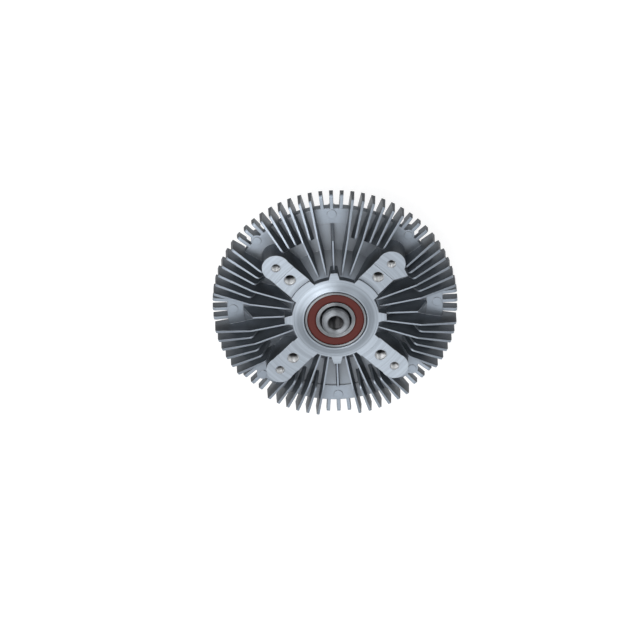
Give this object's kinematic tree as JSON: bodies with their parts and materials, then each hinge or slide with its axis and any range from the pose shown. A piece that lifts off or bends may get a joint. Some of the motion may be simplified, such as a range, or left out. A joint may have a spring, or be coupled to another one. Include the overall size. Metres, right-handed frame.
{
  "type": "viscous fan clutch",
  "caption": "Viscous fan clutch: a finned aluminium housing with four fan arms turns on a sealed ball bearing round the drive shaft, with a bimetal valve in front.",
  "frame": {"origin": "on the shaft axis, at the plane of the front cover's fin edges, on which the part rests", "axes": "+Z along the shaft axis towards the rear (engine) side; the four fan arms lie at 45 degrees between +X and +Y"},
  "size_m": [0.2038, 0.2038, 0.0678],
  "materials": {
    "housing_casting": "die-cast, satin, with turned faces",
    "cover_casting": "die-cast, satin",
    "rotor_alloy": "turned",
    "plated_steel": "zinc plated",
    "bearing_steel": "ground",
    "turned_steel": "turned",
    "sheet_steel": "rolled sheet",
    "black_rubber": "moulded",
    "brown_rubber": "moulded, brick brown",
    "bush_bronze": "sintered",
    "bimetal_strip": "rolled strip"
  },
  "bodies": {
    "housing": {"rear_housing": "housing_casting", "front_cover": "cover_casting", "cover_screws": "plated_steel", "cover_seal": "black_rubber", "separator_plate": "sheet_steel", "plate_screws": "plated_steel", "bearing_outer_ring": "bearing_steel", "bearing_rear_seal": "brown_rubber", "bearing_front_seal": "brown_rubber", "spindle_bush": "bush_bronze", "bimetal_coil": "bimetal_strip"},
    "shaft": {"drive_shaft": "turned_steel", "bearing_inner_ring": "bearing_steel", "rotor_disc": "rotor_alloy", "rotor_retaining_ring": "turned_steel"},
    "cage": {"bearing_cage": "sheet_steel", "bearing_balls": "bearing_steel"},
    "valve": {"valve_spindle": "turned_steel", "spindle_seal": "black_rubber", "valve_arm": "sheet_steel"}
  },
  "joints": [
    {"name": "shaft_spin", "type": "hinge", "parent": "housing", "child": "shaft", "pos_m": [0, 0, 0.055], "axis": [0, 0, 1], "continuous": true},
    {"name": "cage_spin", "type": "hinge", "parent": "housing", "child": "cage", "pos_m": [0, 0, 0.055], "axis": [0, 0, 1], "continuous": true},
    {"name": "valve_turn", "type": "hinge", "parent": "housing", "child": "valve", "pos_m": [0, 0, 0.012], "axis": [0, 0, 1], "range_deg": [0, 35], "stiffness_Nm_per_rad": 0.05, "deforming": ["bimetal_coil"]}
  ],
  "couplings": [
    {"joint": "cage_spin", "follows": "shaft_spin", "ratio": 0.3974}
  ]
}
